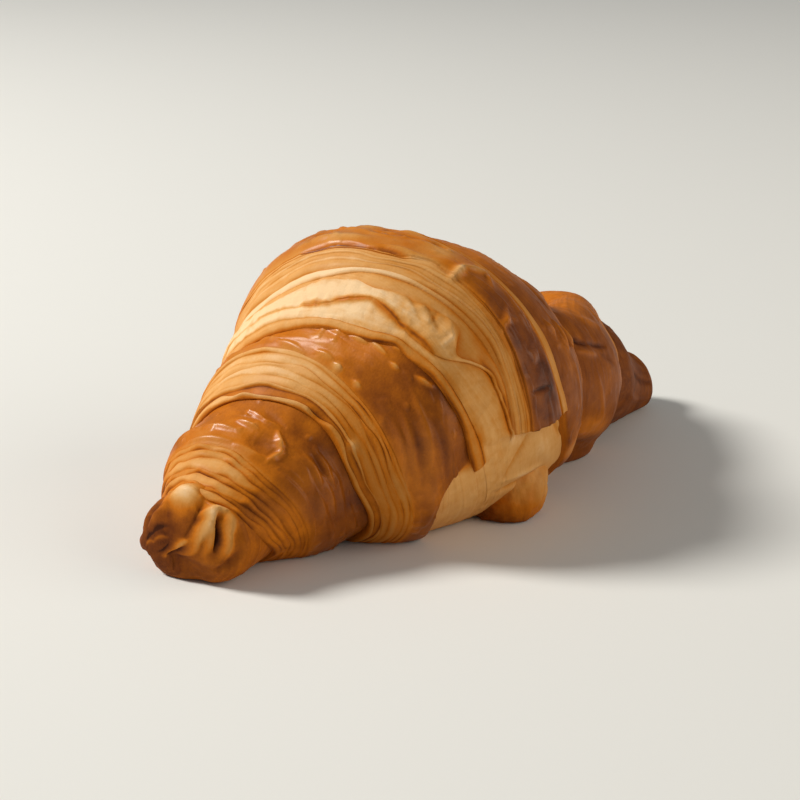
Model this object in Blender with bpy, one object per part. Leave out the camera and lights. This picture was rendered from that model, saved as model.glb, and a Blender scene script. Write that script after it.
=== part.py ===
"""A butter croissant, modelled as the one piece of baked dough that it is.

The dough was rolled up from a long triangle, so the surface is a row of rolls
round one bowed spine. Each roll overlaps the next one towards a tip, and the
triangle's own point ends as a tongue on the front. The rolls' edges lie aslant:
on the front they are nearer the middle, on the back nearer the tips.

Units are metres. X runs along the croissant from the pinched near tip to the
far tip, Y to the back, Z up. The underside is flat and stands on z = 0, and the
origin is under the middle of the croissant's box.
"""
import math

import bmesh
import bpy
from mathutils import Matrix, Vector

NAME = "croissant"

# Size of the roll, before the two tips are added
SPINE_LENGTH = 0.1439
WIDTH_TO_HEIGHT = 1.12
SINK = 0.85
# Values at every tenth of the spine, near end first
SPINE_BOW = (0.0, 0.0041, 0.0055, 0.0041, 0.0014, 0.0, 0.0005, 0.0018, 0.0028, 0.0025, 0.0)
BODY_RADIUS = (0.0104, 0.0150, 0.0212, 0.0303, 0.0318, 0.0298, 0.0258, 0.0210, 0.0178, 0.0150, 0.0076)

# The near tip turns to the back, the far tip is short and round
NEAR_TIP_REACH = 0.0072
NEAR_TIP_TURN = 0.0088
NEAR_TIP_DROP = 0.0030
NEAR_TIP_BLUNTNESS = 2.4
FAR_TIP_REACH = 0.0055
NEAR_END = -NEAR_TIP_REACH / SPINE_LENGTH
FAR_END = 1.0 + FAR_TIP_REACH / SPINE_LENGTH

# Edges of the rolls, as shares of the spine at every eighth of a turn round it.
# The first value is low on the front, the third high on the front, the fourth
# on top, the sixth at the back and the last one underneath.
FIRST_STATION = math.radians(-45)
COLLAR_EDGE = (0.047, 0.025, 0.020, 0.041, 0.067, 0.079, 0.071, 0.055)
SECOND_EDGE = (0.214, 0.173, 0.151, 0.134, 0.112, 0.102, 0.139, 0.191)
PALE_EDGE = (0.433, 0.348, 0.282, 0.253, 0.214, 0.209, 0.289, 0.394)
CAP_EDGE = (0.455, 0.428, 0.418, 0.311, 0.273, 0.287, 0.342, 0.415)
CAP_FAR_EDGE = (0.522, 0.513, 0.476, 0.461, 0.469, 0.486, 0.507, 0.524)
VALLEY_EDGE = (0.624, 0.603, 0.618, 0.637, 0.645, 0.645, 0.637, 0.623)
TIP_EDGE = (0.792, 0.824, 0.834, 0.852, 0.844, 0.834, 0.814, 0.812)
EDGES = (COLLAR_EDGE, SECOND_EDGE, PALE_EDGE, CAP_EDGE, CAP_FAR_EDGE, VALLEY_EDGE, TIP_EDGE)

# Relief of the rolls: how far each stands off the body, as pairs of the share
# across the roll and the height. Two rows at one edge make the step there.
NEAR_TIP_ROWS = (
    (0.08, 0.0), (0.18, 0.0), (0.30, 0.0), (0.44, 0.0003), (0.60, 0.0006), (0.76, 0.0004), (0.95, -0.0010),
)
COLLAR_ROWS = (
    (0.00, 0.0002), (0.07, 0.0010), (0.12, 0.0007), (0.19, 0.0016), (0.25, 0.0013), (0.33, 0.0022),
    (0.48, 0.0024), (0.64, 0.0022), (0.80, 0.0013), (0.95, -0.0006),
)
SECOND_ROWS = (
    (0.00, 0.0006), (0.08, 0.0014), (0.13, 0.0010), (0.21, 0.0019), (0.27, 0.0015), (0.35, 0.0024),
    (0.50, 0.0027), (0.65, 0.0024), (0.80, 0.0016), (0.95, 0.0004),
)
PALE_ROWS = (
    (0.00, 0.0013), (0.16, 0.0016), (0.23, 0.0011), (0.38, 0.0019), (0.47, 0.0013), (0.62, 0.0021),
    (0.70, 0.0017), (0.82, 0.0025), (0.94, 0.0022),
)
CAP_ROWS = (
    (0.00, 0.0031), (0.12, 0.0036), (0.28, 0.0038), (0.46, 0.0037), (0.64, 0.0035), (0.82, 0.0031),
    (0.96, 0.0026),
)
CAP_NEIGHBOUR_ROWS = (
    (0.02, 0.0004), (0.14, 0.0011), (0.32, 0.0017), (0.52, 0.0018), (0.74, 0.0014), (0.94, 0.0007),
)
HUMP_ROWS = (
    (0.00, -0.0012), (0.08, -0.0002), (0.22, 0.0016), (0.40, 0.0026), (0.58, 0.0029), (0.76, 0.0024),
    (0.95, 0.0012),
)
FAR_TIP_ROWS = ((0.03, -0.0010), (0.20, 0.0001), (0.42, 0.0005), (0.66, 0.0002), (0.86, 0.0))
BANDS = (
    NEAR_TIP_ROWS, COLLAR_ROWS, SECOND_ROWS, PALE_ROWS, CAP_ROWS, CAP_NEIGHBOUR_ROWS, HUMP_ROWS, FAR_TIP_ROWS,
)
CAP_BAND = BANDS.index(CAP_ROWS)

# The tongue: below this angle on the front the cap's layer is missing
TONGUE_END = math.radians(-4)
TONGUE_STEP = math.radians(2.5)
CAP_HIDDEN_FROM = math.radians(215)
CAP_HIDDEN_BY = math.radians(245)
UNDER_TONGUE_HEIGHT = 0.0006

# Pleats where the near tip was pinched shut
PLEATS = 8
PLEAT_TURN = 0.6
PLEAT_DEPTH = 0.0021
PLEAT_SHARPNESS = 3

# The flap of dough squeezed out under the front
FOOT_SHARE = 0.50
FOOT_ANGLE = math.radians(-52)
FOOT_HALF_LENGTH = 0.055
FOOT_HALF_ANGLE = math.radians(20)
FOOT_HEIGHT = 0.0062

# Slow unevenness of the whole roll: two waves, each with its height, its turns
# along the spine, its turns round the roll and its start, in radians
WAVES = ((0.0003, 9.0, 2.0, 0.0), (0.0002, 23.0, -3.0, 1.0))

# The relief fades out where the body is thinner than this
FULL_RELIEF_RADIUS = 0.004
# Step along the spine over which its heading is measured
BOW_STEP = 0.01

COLUMNS = 88
CRUST_COLOUR = (0.50, 0.19, 0.045, 1.0)
CRUST_ROUGHNESS = 0.42


def curve_between(before, start, end, after, step):
    """Return the smooth value a step of the way from start to end."""
    return 0.5 * (
        2.0 * start
        + (end - before) * step
        + (2.0 * before - 5.0 * start + 4.0 * end - after) * step ** 2
        + (3.0 * start - before - 3.0 * end + after) * step ** 3
    )


def along(values, share):
    """Read evenly spaced values at a share of the spine."""
    last = len(values) - 1
    place = min(max(share, 0.0), 1.0) * last
    index = min(int(place), last - 1)
    before = values[max(index - 1, 0)]
    after = values[min(index + 2, last)]
    return curve_between(before, values[index], values[index + 1], after, place - index)


def around(values, angle):
    """Read evenly spaced values at an angle round the roll."""
    count = len(values)
    place = (angle - FIRST_STATION) / math.tau * count % count
    index = int(place)
    corners = [values[(index + offset) % count] for offset in (-1, 0, 1, 2)]
    return curve_between(*corners, place - index)


def smooth_step(low, high, value):
    """Rise from 0 at low to 1 at high."""
    step = min(max((value - low) / (high - low), 0.0), 1.0)
    return step * step * (3.0 - 2.0 * step)


def front_angle(angle):
    """Turn an angle into the range from under the front to under the back."""
    return (angle + math.pi / 2) % math.tau - math.pi / 2


def row_share(band, fraction, angle):
    """Return the place along the spine; the tips lie below 0 and above 1."""
    low = around(EDGES[band - 1], angle) if band > 0 else NEAR_END
    high = around(EDGES[band], angle) if band < len(EDGES) else FAR_END
    return low + (high - low) * fraction


def tongue_cover(angle):
    """Return 1 where the cap's layer lies, and 0 below the tongue."""
    turned = front_angle(angle)
    rise = smooth_step(TONGUE_END - TONGUE_STEP, TONGUE_END, turned)
    fall = smooth_step(CAP_HIDDEN_FROM, CAP_HIDDEN_BY, turned)
    return rise * (1.0 - fall)


def foot_height(share, angle):
    """Return the height of the flap under the front."""
    along_flap = (share - FOOT_SHARE) / FOOT_HALF_LENGTH
    round_flap = (front_angle(angle) - FOOT_ANGLE) / FOOT_HALF_ANGLE
    return FOOT_HEIGHT * math.exp(-along_flap ** 2 - round_flap ** 2)


def wave_height(share, angle):
    """Return the slow unevenness of the roll."""
    return sum(
        height * math.sin(lengthwise * share + crosswise * angle + start)
        for height, lengthwise, crosswise, start in WAVES
    )


def pleat_height(fraction, angle):
    """Return the pleats' relief, deepest between the tip and its edge."""
    groove = (0.5 + 0.5 * math.cos(PLEATS * angle + PLEAT_TURN)) ** PLEAT_SHARPNESS
    return -PLEAT_DEPTH * groove * math.sin(math.pi * fraction)


def relief(band, fraction, share, height, angle):
    """Return how far a point stands off the plain body."""
    if band == CAP_BAND:
        height = UNDER_TONGUE_HEIGHT + (height - UNDER_TONGUE_HEIGHT) * tongue_cover(angle)
    height += wave_height(share, angle) + foot_height(share, angle)
    if band == 0:
        height += pleat_height(fraction, angle)
    return height


def body_point(share, angle, height):
    """Return the point over the spine at a share, an angle and a height."""
    inside = min(max(share, 0.0), 1.0)
    radius = along(BODY_RADIUS, inside)
    bow = along(SPINE_BOW, inside)
    ahead = along(SPINE_BOW, inside + BOW_STEP)
    behind = along(SPINE_BOW, inside - BOW_STEP)
    heading = math.atan2(ahead - behind, 2.0 * BOW_STEP * SPINE_LENGTH)
    middle = SINK * radius
    if share < 0.0:
        reached = share / NEAR_END
        radius *= math.sqrt(max(1.0 - reached ** NEAR_TIP_BLUNTNESS, 0.0))
        bow += NEAR_TIP_TURN * reached ** 2
        middle -= NEAR_TIP_DROP * reached ** 2
    if share > 1.0:
        reached = (share - 1.0) / (FAR_END - 1.0)
        radius *= math.sqrt(max(1.0 - reached ** 2, 0.0))
    reach = max(radius + height * min(radius / FULL_RELIEF_RADIUS, 1.0), 0.0)
    sideways = reach * math.cos(angle) * WIDTH_TO_HEIGHT
    x = share * SPINE_LENGTH + math.sin(heading) * sideways
    y = bow - math.cos(heading) * sideways
    z = max(middle + reach * math.sin(angle), 0.0)
    return Vector((x, y, z))


def surface_rows():
    """List every row of the surface as its band, fraction and height."""
    return [(band, fraction, height) for band, rows in enumerate(BANDS) for fraction, height in rows]


def croissant_mesh():
    """Shape a sphere with its poles on X into the croissant."""
    rows = surface_rows()
    shape = bmesh.new()
    bmesh.ops.create_uvsphere(shape, u_segments=COLUMNS, v_segments=len(rows) + 1, radius=1.0)
    turn = Matrix.Rotation(math.radians(-90), 4, "Y")
    bmesh.ops.transform(shape, matrix=turn, verts=shape.verts)
    for vertex in shape.verts:
        latitude = math.acos(min(max(-vertex.co.x, -1.0), 1.0))
        row = round(latitude / math.pi * (len(rows) + 1))
        angle = math.atan2(vertex.co.z, -vertex.co.y)
        if row == 0:
            vertex.co = body_point(NEAR_END, 0.0, 0.0)
        elif row == len(rows) + 1:
            vertex.co = body_point(FAR_END, 0.0, 0.0)
        else:
            band, fraction, height = rows[row - 1]
            share = row_share(band, fraction, angle)
            height = relief(band, fraction, share, height, angle)
            vertex.co = body_point(share, angle, height)
    low = Vector([min(vertex.co[axis] for vertex in shape.verts) for axis in range(3)])
    high = Vector([max(vertex.co[axis] for vertex in shape.verts) for axis in range(3)])
    centre = (low + high) / 2.0
    bmesh.ops.translate(shape, vec=(-centre.x, -centre.y, -low.z), verts=shape.verts)
    bmesh.ops.triangulate(shape, faces=shape.faces)
    bmesh.ops.recalc_face_normals(shape, faces=shape.faces)
    mesh = bpy.data.meshes.new(NAME)
    shape.to_mesh(mesh)
    shape.free()
    mesh.shade_smooth()
    return mesh


def crust_material():
    """Make the browned crust's material."""
    material = bpy.data.materials.new("crust")
    material.use_nodes = True
    shader = material.node_tree.nodes["Principled BSDF"]
    shader.inputs["Base Color"].default_value = CRUST_COLOUR
    shader.inputs["Roughness"].default_value = CRUST_ROUGHNESS
    shader.inputs["Metallic"].default_value = 0.0
    return material


def clear_scene():
    """Remove the objects that Blender starts with."""
    for thing in list(bpy.data.objects):
        bpy.data.objects.remove(thing)


def main():
    """Build the croissant in a collection of its own."""
    clear_scene()
    collection = bpy.data.collections.new("butter_croissant")
    bpy.context.scene.collection.children.link(collection)
    mesh = croissant_mesh()
    mesh.materials.append(crust_material())
    collection.objects.link(bpy.data.objects.new(NAME, mesh))


main()
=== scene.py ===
"""Looks of the butter croissant, dressed round its solid from the frame.

The croissant is a row of rolls round one bowed spine. Each roll is a closed
shell of its own. Where it is cut it shows its layers as fine ridges, and the
skin above them was brushed with egg and baked brown and glossy. The rolls near
the pinched tip open towards that tip, the ones past the middle towards the far
tip, and the roll in the middle ends on the front as a cut tongue.

Places on the croissant are given as a share of the spine, written in thousandths
in the tables, and an angle round it: 0 degrees is the front, 90 the top, 180 the
back. Lengths are metres, except for heights over the body and the widths of folds,
which are millimetres. A tone runs from 0, bare dough, to 1, the darkest crust.
"""

import math
from typing import NamedTuple

import bmesh
import bpy
import numpy as np
from bpy.props import FloatProperty, FloatVectorProperty, PointerProperty
from bpy.types import Operator, Panel, PropertyGroup
from mathutils import Matrix, Vector


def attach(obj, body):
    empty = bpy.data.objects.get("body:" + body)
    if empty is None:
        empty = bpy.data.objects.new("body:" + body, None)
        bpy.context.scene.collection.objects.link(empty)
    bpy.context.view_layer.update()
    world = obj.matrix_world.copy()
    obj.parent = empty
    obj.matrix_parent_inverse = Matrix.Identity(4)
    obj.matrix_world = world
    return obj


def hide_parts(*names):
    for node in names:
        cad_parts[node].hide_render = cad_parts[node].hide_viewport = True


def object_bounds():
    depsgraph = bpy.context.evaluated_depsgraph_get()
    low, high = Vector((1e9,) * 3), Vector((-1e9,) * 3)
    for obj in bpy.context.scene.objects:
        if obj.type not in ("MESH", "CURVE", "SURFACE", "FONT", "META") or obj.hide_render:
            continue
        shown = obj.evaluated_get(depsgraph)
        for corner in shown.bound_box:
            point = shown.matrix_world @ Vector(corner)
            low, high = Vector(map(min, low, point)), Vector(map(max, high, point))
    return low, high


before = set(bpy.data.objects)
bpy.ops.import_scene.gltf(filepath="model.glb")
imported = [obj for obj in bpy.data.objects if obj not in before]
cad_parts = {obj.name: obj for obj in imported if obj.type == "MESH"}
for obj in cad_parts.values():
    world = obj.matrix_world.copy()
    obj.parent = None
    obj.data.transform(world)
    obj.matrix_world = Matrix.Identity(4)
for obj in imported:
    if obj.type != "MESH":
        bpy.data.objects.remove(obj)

bl_info = {
    "name": "Butter croissant",
    "version": (1, 0, 0),
    "blender": (4, 5, 0),
    "location": "3D View > Sidebar > Croissant",
    "description": "Shapes and bakes a butter croissant round its solid",
    "category": "Object",
}

CAD_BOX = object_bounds()
BODY = "root"
NODE = "croissant"

# The solid's own measures, from which every piece is worked out
DESIGN_LENGTH = 0.1566
SCALE = (CAD_BOX[1].x - CAD_BOX[0].x) / DESIGN_LENGTH
SPINE_LENGTH = 0.1439
WIDTH_TO_HEIGHT = 1.12
SINK = 0.85
SPINE_BOW = (0.0, 0.0041, 0.0055, 0.0041, 0.0014, 0.0, 0.0005, 0.0018, 0.0028, 0.0025, 0.0)
BODY_RADIUS = (0.0104, 0.0150, 0.0212, 0.0303, 0.0318, 0.0298, 0.0258, 0.0210, 0.0178, 0.0150, 0.0076)
NEAR_TIP_REACH = 0.0072
NEAR_TIP_TURN = 0.0088
NEAR_TIP_DROP = 0.0030
NEAR_TIP_BLUNTNESS = 2.4
FAR_TIP_REACH = 0.0055
NEAR_END = -NEAR_TIP_REACH / SPINE_LENGTH
FAR_END = 1.0 + FAR_TIP_REACH / SPINE_LENGTH
SPINE_START = Vector((NEAR_TIP_REACH - DESIGN_LENGTH / 2.0, -0.00192, 0.0))
FULL_RELIEF_RADIUS = 0.004
BOW_STEP = 0.01

MM = 0.001
TOP, BACK, UNDER = (math.radians(turn) for turn in (90, 180, 270))


def thousandths(*values):
    """Turn thousandths of the spine into shares of it."""
    return tuple(value / 1000.0 for value in values)


def curve(*points):
    """Return a line from pairs of degrees round the roll and thousandths of the spine."""
    return tuple((degrees, value / 1000.0) for degrees, value in points)


# Edges of the rolls at every eighth of a turn. The first value is low on the
# front, the third high on the front, the fourth on top
FIRST_STATION = math.radians(-45)
COLLAR_EDGE = thousandths(60, 18, -4, -17, -2, 20, 45, 60)
COLLAR_SKIN = thousandths(115, 66, 45, 59, 70, 82, 95, 110)
SECOND_EDGE = thousandths(235, 178, 162, 145, 138, 125, 150, 200)
SECOND_SKIN = thousandths(285, 238, 210, 198, 190, 178, 200, 260)
CAP_EDGE = thousandths(437, 418, 379, 279, 246, 262, 330, 425)

# Edges that bend more; the low patch is a pale place low on the second roll
CAP_SKIN = curve(
    (-45, 462), (0, 444), (14, 437), (34, 428), (48, 415), (59, 399), (66, 389), (71, 370), (76, 351),
    (82, 340), (96, 317), (108, 295), (135, 276), (180, 289), (225, 352), (270, 440),
)
CAP_FAR_EDGE = curve(
    (-45, 575), (-26, 556), (-14, 536), (-2, 521), (8, 514), (25, 509), (45, 498), (90, 463),
    (135, 469), (180, 486), (225, 520), (270, 560),
)
VALLEY_EDGE = curve(
    (-45, 630), (-20, 600), (0, 594), (24, 602), (40, 600), (50, 612), (60, 655), (71, 706), (85, 768),
    (100, 795), (135, 780), (180, 720), (225, 665), (270, 640),
)
TIP_EDGE = curve(
    (-45, 785), (-5, 796), (4, 814), (14, 826), (33, 846), (44, 853), (55, 866), (70, 900), (90, 935),
    (135, 925), (180, 880), (225, 840), (270, 800),
)
PALE_EDGE = curve(
    (-45, 405), (-19, 376), (-9, 361), (4, 347), (21, 315), (34, 291), (44, 280), (53, 262), (63, 251),
    (90, 229), (135, 208), (180, 206), (225, 289), (270, 394),
)
SECOND_SHEET = curve(
    (-45, 420), (-20, 390), (0, 366), (21, 331), (37, 296), (47, 283), (54, 270), (63, 259), (74, 249),
    (91, 236), (135, 219), (180, 222), (225, 300), (270, 400),
)
LOW_PATCH = curve((-60, 338), (-45, 330), (-30, 312), (-24, 306), (-20, 312), (-16, 330), (-12, 352))
CRACK = curve(
    (-45, 430), (-20, 422), (-4, 414), (0, 409), (7, 401), (15, 393), (22, 385), (26, 364), (29, 336),
    (33, 316), (38, 304), (48, 293), (56, 290), (64, 286), (74, 268), (82, 254), (94, 244), (135, 228),
    (180, 238), (225, 310), (270, 406),
)
TORN_SHEET = curve(
    (-45, 433), (-20, 425), (-4, 417), (0, 412), (7, 405), (15, 397), (22, 389), (26, 370), (29, 352),
    (33, 358), (38, 370), (43, 360), (48, 345), (56, 322), (65, 298), (75, 289), (87, 272), (94, 262),
    (104, 249), (135, 236), (180, 248), (225, 316), (270, 410),
)


class Layer(NamedTuple):
    """A strip along a roll, with heights in millimetres from its low to its high side.

    Its width counts against the other widths in its band.
    """

    width: float
    start: float
    end: float
    swell: float
    tone: float
    # Darker than the crown's tone partly from browning and partly as painted shade
    front_tone: float
    # Darkening towards the layer's edges: partly browner edges, partly painted shade in the gaps between
    # layers
    groove: float = 0.30
    gloss: float = 0.15
    rows: int = 7
    skin: bool = False
    speckle: float = 0.0


class Band(NamedTuple):
    """The layers between two edges, and how much the lines between them wander."""

    low: tuple
    high: tuple
    layers: tuple
    wander: float = 0.0


class Fold(NamedTuple):
    """A wrinkle, a crease or a blister, from one place to another on the roll."""

    share: float
    degrees: float
    end_share: float
    end_degrees: float
    width: float
    height: float
    # Partly the crust's own colour and partly painted light: most raised folds are made paler as painted
    # highlights, most sunk ones darker as painted shade in the creases
    tone: float


class Roll(NamedTuple):
    """One roll of the croissant: its layers in order and its folds.

    From plain_from degrees down its thin layers fade into plain crust, wholly by
    plain_by.
    """

    name: str
    bands: tuple
    low_lip: bool
    high_lip: bool
    folds: tuple = ()
    seed: float = 0.0
    plain_from: float = -95.0
    plain_by: float = -100.0


class Tip(NamedTuple):
    """One end of the croissant, from its point to beyond the edge that hides its root."""

    name: str
    edge: tuple
    end: float
    rows: int
    heights: tuple
    tones: tuple
    folds: tuple
    seed: int


def read_folds(*rows):
    """Return folds from rows whose shares are thousandths of the spine."""
    return tuple(
        Fold(share / 1000.0, degrees, end_share / 1000.0, end_degrees, *size)
        for share, degrees, end_share, end_degrees, *size in rows
    )


def stack(widths, low, high, swell, tones, front_tones, groove):
    """Return thin layers that rise from low to high, one for each width."""
    step = (high - low) / len(widths)
    return tuple(
        Layer(width, low + step * index, low + step * (index + 0.8), swell, tone, front_tone, groove)
        for index, (width, tone, front_tone) in enumerate(zip(widths, tones, front_tones))
    )


def sheet(*sizes, **options):
    """Return a layer that fills its band alone."""
    return (Layer(1.0, *sizes, **options),)


def skin(start, end, swell, tone, front_tone, rows=70, gloss=1.0):
    """Return the wide egg-washed layer of a roll."""
    return sheet(start, end, swell, tone, front_tone, gloss=gloss, rows=rows, skin=True)


COLLAR = Roll(
    name="collar_roll",
    bands=(
        Band(
            COLLAR_EDGE, COLLAR_SKIN,
            stack(
                (1.2, 0.8, 1.3, 0.8, 1.6, 0.9, 0.8), 0.1, 1.9, 0.6,
                (0.38, 0.58, 0.36, 0.52, 0.32, 0.42, 0.44), (0.72, 0.8, 0.76, 0.8, 0.74, 0.74, 0.8), 0.3,
            ),
            0.5,
        ),
        Band(COLLAR_SKIN, SECOND_EDGE, skin(2.1, -0.6, 0.8, 0.65, 0.85)),
    ),
    low_lip=True,
    high_lip=False,
    folds=read_folds(
        # Most raised wrinkles on the glaze are made paler as painted highlights
        (92, 116, 85, 89, 0.7, 0.7, -0.08), (73, 124, 67, 88, 0.7, 0.6, -0.08),
        (102, 93, 96, 75, 0.6, 0.85, -0.1), (124, 93, 114, 73, 0.6, 0.75, -0.1),
        (114, 75, 118, 63, 0.6, 0.5, -0.06), (109, 62, 81, 52, 0.8, 0.95, -0.24),
        (82, 52, 61, 56, 0.7, 0.8, -0.22), (64, 84, 60, 60, 0.7, 0.45, -0.12),
        (82, 78, 76, 59, 2.0, -0.9, 0.12), (130, 80, 122, 62, 1.0, -0.35, 0.08),
        (92, 44, 85, 18, 2.2, 0.35, -0.06), (112, 38, 112, 16, 0.8, 0.5, -0.1),
        (134, 32, 138, 8, 0.8, 0.45, -0.1), (122, 20, 134, -8, 1.0, 0.45, -0.08),
        (124, 34, 128, 16, 0.7, -0.4, 0.08), (100, 12, 112, -12, 0.9, 0.35, -0.06),
        (145, 15, 160, -20, 0.9, 0.35, -0.04), (148, 54, 155, 38, 3.0, 0.0, -0.16),
        (85, 150, 95, 125, 0.9, 0.5, -0.03), (95, 190, 90, 160, 0.9, 0.45, -0.03),
    ),
    seed=3.1,
    plain_from=48.0,
    plain_by=4.0,
)

SECOND = Roll(
    name="second_roll",
    bands=(
        Band(
            SECOND_EDGE, SECOND_SKIN,
            (
                Layer(0.7, 0.5, 0.8, 0.50, 0.24, 0.48, 0.30),
                Layer(1.5, 0.5, 0.7, 0.05, 0.66, 0.70, 0.15),
                Layer(0.6, 1.0, 1.2, 0.40, 0.28, 0.46, 0.30),
                Layer(1.9, 1.1, 1.5, 0.25, 0.28, 0.54, 0.22),
                Layer(1.6, 1.5, 1.8, 0.22, 0.20, 0.52, 0.12),
                Layer(1.2, 1.8, 2.0, 0.22, 0.28, 0.60, 0.10),
                Layer(1.3, 1.9, 2.2, 0.20, 0.22, 0.54, 0.30),
                Layer(0.8, 2.3, 2.5, 0.40, 0.28, 0.60, 0.34),
            ),
            0.7,
        ),
        Band(SECOND_SKIN, PALE_EDGE, skin(2.3, 0.6, 0.8, 0.60, 0.83, 96)),
    ),
    low_lip=True,
    high_lip=False,
    folds=read_folds(
        # The first seven are blisters and a ridge made paler as painted highlights
        (210, 61, 214, 56, 0.8, 0.75, -0.4), (216, 48, 219, 43, 0.7, 0.6, -0.34),
        (251, 62, 258, 54, 0.6, 0.55, -0.28), (263, 54, 266, 44, 0.6, 0.5, -0.28),
        (280, 46, 283, 41, 0.6, 0.45, -0.28), (265, 40, 269, 36, 0.7, 0.6, -0.36),
        (285, 29, 297, 23, 0.7, 0.7, -0.38), (242, 74, 246, 64, 0.7, 0.4, -0.1),
        (160, 56, 166, 42, 0.8, -1.0, 0.26), (178, 27, 184, 20, 0.9, 0.55, -0.2),
        (210, 72, 213, 62, 0.7, 0.5, -0.14), (205, 95, 203, 78, 0.8, 0.45, -0.08),
        (214, 112, 208, 96, 0.8, 0.45, -0.06), (251, 22, 256, -2, 0.9, 0.45, -0.1),
        (272, 22, 280, -4, 1.0, 0.45, -0.1), (262, 14, 270, -12, 0.8, -0.35, 0.08),
        (238, 22, 248, -12, 1.0, 0.35, -0.06), (288, 12, 312, -12, 1.1, -0.35, 0.1),
        (285, -10, 300, -36, 1.0, 0.35, 0.0), (262, -2, 285, -24, 4.0, 0.0, -0.14),
        (200, 140, 195, 118, 0.9, 0.5, -0.04), (205, 175, 195, 150, 0.9, 0.5, -0.04),
    ),
    seed=11.7,
)

PALE = Roll(
    name="pale_roll",
    bands=(
        Band(PALE_EDGE, SECOND_SHEET, sheet(1.2, 1.4, 0.45, 0.30, 0.52, 0.34, 0.1, 14, speckle=0.02)),
        Band(SECOND_SHEET, CRACK, sheet(1.5, 1.8, 0.25, 0.02, 0.34, 0.22, 0.0, 24, speckle=0.05)),
        Band(CRACK, TORN_SHEET, sheet(2.2, 2.5, 0.15, 0.01, 0.26, 0.25, 0.0, 30, speckle=0.06)),
        # Darker on the front, partly as painted shadow on the flank under the cap's lip
        Band(TORN_SHEET, CAP_EDGE, sheet(1.7, 1.5, 0.25, 0.28, 0.46, 0.30, 0.1, 14)),
        Band(CAP_EDGE, CAP_FAR_EDGE, sheet(0.8, 0.6, 0.30, 0.26, 0.26, 0.10, 0.0, 34, skin=True)),
    ),
    low_lip=True,
    high_lip=False,
    folds=read_folds(
        # The first two sink and darken the gap under the cap's lip as painted shadow
        (386, 27, 398, 14, 1.2, -0.3, 0.3), (398, 15, 416, -3, 1.3, -0.35, 0.32),
        (455, -6, 425, -24, 0.9, -0.5, 0.16), (500, -3, 520, -12, 0.7, -0.45, 0.16),
        (405, -4, 440, -9, 2.0, 0.35, -0.1), (470, -8, 510, -24, 2.0, 0.45, -0.08),
        (425, -26, 500, -25, 0.9, 0.5, -0.1), (428, -32, 500, -30, 0.9, -0.8, 0.22),
        (365, 44, 352, 33, 0.8, 0.4, -0.08), (345, 50, 340, 38, 0.6, -0.35, 0.14),
        (330, 56, 322, 44, 0.6, -0.25, 0.12), (355, 46, 330, 42, 0.5, -0.3, 0.14),
        (335, 34, 360, 36, 0.6, 0.4, -0.08), (300, 62, 315, 50, 0.7, -0.25, 0.1),
        (245, 93, 256, 80, 0.6, 0.25, 0.44), (255, 81, 284, 65, 0.7, 0.25, 0.5),
        (285, 65, 293, 48, 0.7, 0.25, 0.46), (293, 49, 316, 33, 0.6, 0.2, 0.36),
        (545, -50, 600, -35, 5.0, -2.6, 0.0),
    ),
    seed=23.9,
)

CAP = Roll(
    name="cap_roll",
    bands=(
        Band(
            CAP_EDGE, CAP_SKIN,
            (
                Layer(0.9, 1.4, 1.8, 0.45, 0.04, 0.52, 0.25),
                Layer(1.5, 1.8, 2.0, 0.40, 0.32, 0.44, 0.16),
                Layer(0.6, 2.0, 2.2, 0.26, 0.24, 0.40, 0.14),
                Layer(0.9, 2.2, 2.4, 0.24, 0.34, 0.44, 0.10),
                Layer(0.6, 2.4, 2.6, 0.26, 0.24, 0.48, 0.14),
                Layer(0.7, 2.6, 2.8, 0.24, 0.32, 0.58, 0.12),
                Layer(0.6, 2.8, 2.9, 0.24, 0.30, 0.74, 0.45),
            ),
            0.6,
        ),
        Band(
            CAP_SKIN, CAP_FAR_EDGE,
            (
                *skin(3.3, 2.8, 0.5, 0.60, 0.87, 70, 1.3),
                Layer(0.05, 2.8, 2.7, 0.0, 0.62, 0.70, 0.05),
                Layer(0.24, 2.7, 2.2, 0.1, 0.60, 0.44, 0.12),
            ),
        ),
    ),
    low_lip=True,
    high_lip=True,
    folds=read_folds(
        # The first three sink and darken the crevice under the crown as painted shade; the fourth pales its
        # upper side as a painted sheen
        (296, 107, 318, 95, 0.6, -0.8, 0.34), (316, 96, 342, 81, 0.6, -0.8, 0.34),
        (340, 82, 368, 71, 0.6, -0.8, 0.34), (316, 108, 350, 88, 1.7, 0.5, -0.26),
        (335, 112, 365, 104, 1.2, -0.5, 0.14), (385, 104, 410, 97, 1.4, 0.6, -0.16),
        (400, 96, 420, 90, 1.6, -0.5, 0.16), (405, 76, 440, 62, 3.5, 0.0, -0.16),
        (270, 92, 290, 78, 0.9, 0.6, -0.14), (360, 78, 392, 64, 1.2, 0.4, -0.14),
        (398, 57, 428, 60, 1.0, 1.1, -0.5), (428, 60, 460, 58, 1.0, 0.9, -0.3),
        (405, 86, 420, 78, 1.6, -0.8, 0.16), (425, 76, 442, 72, 1.1, -0.9, 0.18),
        (380, 92, 395, 84, 1.3, -0.55, 0.1), (418, 92, 440, 84, 0.8, 0.55, -0.14),
        (360, 98, 375, 92, 1.0, 0.4, -0.05), (450, 42, 426, 34, 0.8, 0.55, -0.18),
        (448, 50, 470, 62, 0.9, 0.5, -0.08), (470, 52, 476, 30, 0.9, 0.4, -0.04),
        (445, 11, 480, 12, 0.5, -0.55, 0.12), (400, 110, 430, 100, 1.1, 0.45, -0.05),
        (330, 130, 360, 112, 1.1, 0.45, -0.05), (380, 150, 410, 132, 1.1, -0.5, 0.06),
    ),
    seed=37.3,
)

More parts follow.
